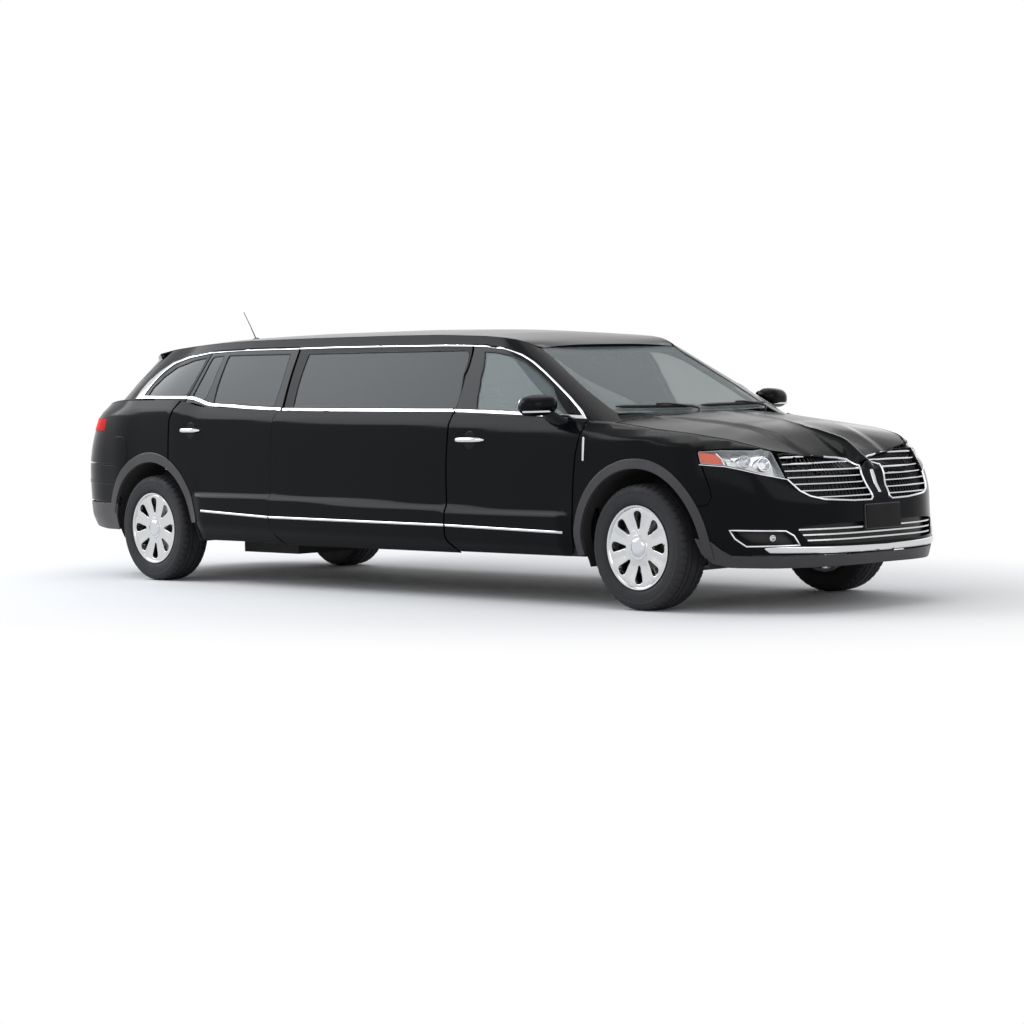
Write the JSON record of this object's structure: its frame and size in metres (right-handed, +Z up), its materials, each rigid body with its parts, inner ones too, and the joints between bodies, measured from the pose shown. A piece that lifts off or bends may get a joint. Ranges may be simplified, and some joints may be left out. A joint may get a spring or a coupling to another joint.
{
  "type": "stretch limousine",
  "caption": "Black stretch limousine with a long fixed middle section, front and rear side doors, hood, liftgate, alloy wheels and a furnished cabin.",
  "frame": {"origin": "on the ground under the middle of the whole length", "axes": "+X forward along the length, +Y to the left of the car, +Z up"},
  "size_m": [7.051, 2.335, 1.8929],
  "materials": {
    "paint": "gloss black clear-coated",
    "chrome": "polished",
    "alloy": "machined and clear-coated",
    "tyre": "matt rubber",
    "tinted_glass": "dark tint",
    "clear_glass": "light green tint",
    "lamp_lens": "clear polycarbonate",
    "red_lens": "red lens",
    "black_plastic": "grained black",
    "steel": "dark coated",
    "exhaust_steel": "dull stainless",
    "leather": "black grained leather",
    "wood": "lacquered dark veneer"
  },
  "bodies": {
    "body": {"antenna": "black_plastic", "bar_cabinet": "wood", "body_side_left": "paint", "body_side_right": "paint", "cowl": "paint", "dashboard": "black_plastic", "engine_block": "steel", "exhaust": "exhaust_steel", "fender_left": "paint", "fender_right": "paint", "floor_pan": "steel", "front_bumper": "paint", "front_seats": "leather", "front_subframe": "steel", "fuel_tank": "black_plastic", "grille": "chrome", "headlamps": "lamp_lens", "inner_mirror": "black_plastic", "lower_grille": "black_plastic", "partition": "wood", "rear_axle": "steel", "rear_bench": "leather", "rear_bumper": "paint", "roof": "paint", "side_glass": "tinted_glass", "side_lounge": "leather", "steering_column": "black_plastic", "windshield": "clear_glass", "wipers": "black_plastic"},
    "hood": {"hood": "paint"},
    "liftgate": {"liftgate": "paint", "liftgate_glass": "tinted_glass", "gate_lamp": "red_lens"},
    "steering_wheel": {"steering_wheel": "black_plastic"},
    "knuckle_right": {"knuckle_right": "steel"},
    "door_front_right": {"door_front_right": "paint", "door_glass_front_right": "clear_glass", "mirror_right": "paint"},
    "door_rear_right": {"door_rear_right": "paint", "door_glass_rear_right": "tinted_glass"},
    "wheel_front_right": {"wheel_front_right": "alloy", "tyre_front_right": "tyre"},
    "wheel_rear_right": {"wheel_rear_right": "alloy", "tyre_rear_right": "tyre"},
    "knuckle_left": {"knuckle_left": "steel"},
    "door_front_left": {"door_front_left": "paint", "door_glass_front_left": "clear_glass", "mirror_left": "paint"},
    "door_rear_left": {"door_rear_left": "paint", "door_glass_rear_left": "tinted_glass"},
    "wheel_front_left": {"wheel_front_left": "alloy", "tyre_front_left": "tyre"},
    "wheel_rear_left": {"wheel_rear_left": "alloy", "tyre_rear_left": "tyre"}
  },
  "joints": [
    {"name": "steer_right", "type": "hinge", "parent": "body", "child": "knuckle_right", "pos_m": [2.4255, -0.745, 0.3705], "axis": [0, 0, 1], "range_deg": [-34, 34]},
    {"name": "wheel_front_right_spin", "type": "hinge", "parent": "knuckle_right", "child": "wheel_front_right", "pos_m": [2.4255, -0.8275, 0.3705], "axis": [0, 1, 0], "continuous": true},
    {"name": "wheel_rear_right_spin", "type": "hinge", "parent": "body", "child": "wheel_rear_right", "pos_m": [-2.3475, -0.8275, 0.3705], "axis": [0, 1, 0], "continuous": true},
    {"name": "door_front_right_hinge", "type": "hinge", "parent": "body", "child": "door_front_right", "pos_m": [2.0015, -0.962, 0.75], "axis": [0, 0, 1], "range_deg": [0, 66]},
    {"name": "door_rear_right_hinge", "type": "hinge", "parent": "body", "child": "door_rear_right", "pos_m": [-0.8985, -0.962, 0.75], "axis": [0, 0, 1], "range_deg": [0, 68]},
    {"name": "steer_left", "type": "hinge", "parent": "body", "child": "knuckle_left", "pos_m": [2.4255, 0.745, 0.3705], "axis": [0, 0, 1], "range_deg": [-34, 34]},
    {"name": "wheel_front_left_spin", "type": "hinge", "parent": "knuckle_left", "child": "wheel_front_left", "pos_m": [2.4255, 0.8275, 0.3705], "axis": [0, 1, 0], "continuous": true},
    {"name": "wheel_rear_left_spin", "type": "hinge", "parent": "body", "child": "wheel_rear_left", "pos_m": [-2.3475, 0.8275, 0.3705], "axis": [0, 1, 0], "continuous": true},
    {"name": "door_front_left_hinge", "type": "hinge", "parent": "body", "child": "door_front_left", "pos_m": [2.0015, 0.962, 0.75], "axis": [0, 0, -1], "range_deg": [0, 66]},
    {"name": "door_rear_left_hinge", "type": "hinge", "parent": "body", "child": "door_rear_left", "pos_m": [-0.8985, 0.962, 0.75], "axis": [0, 0, -1], "range_deg": [0, 68]},
    {"name": "hood_hinge", "type": "hinge", "parent": "body", "child": "hood", "pos_m": [2.1035, 0, 1.172], "axis": [0, -1, 0], "range_deg": [0, 50]},
    {"name": "liftgate_hinge", "type": "hinge", "parent": "body", "child": "liftgate", "pos_m": [-2.6375, 0, 1.668], "axis": [0, 1, 0], "range_deg": [0, 80]},
    {"name": "steering_wheel_turn", "type": "hinge", "parent": "body", "child": "steering_wheel", "pos_m": [1.2105, 0.4, 1.013], "axis": [-0.9507, 0, 0.3102], "range_deg": [-510, 510]}
  ],
  "couplings": [
    {"joint": "steer_left", "follows": "steer_right", "ratio": 1},
    {"joint": "steering_wheel_turn", "follows": "steer_right", "ratio": 15}
  ]
}
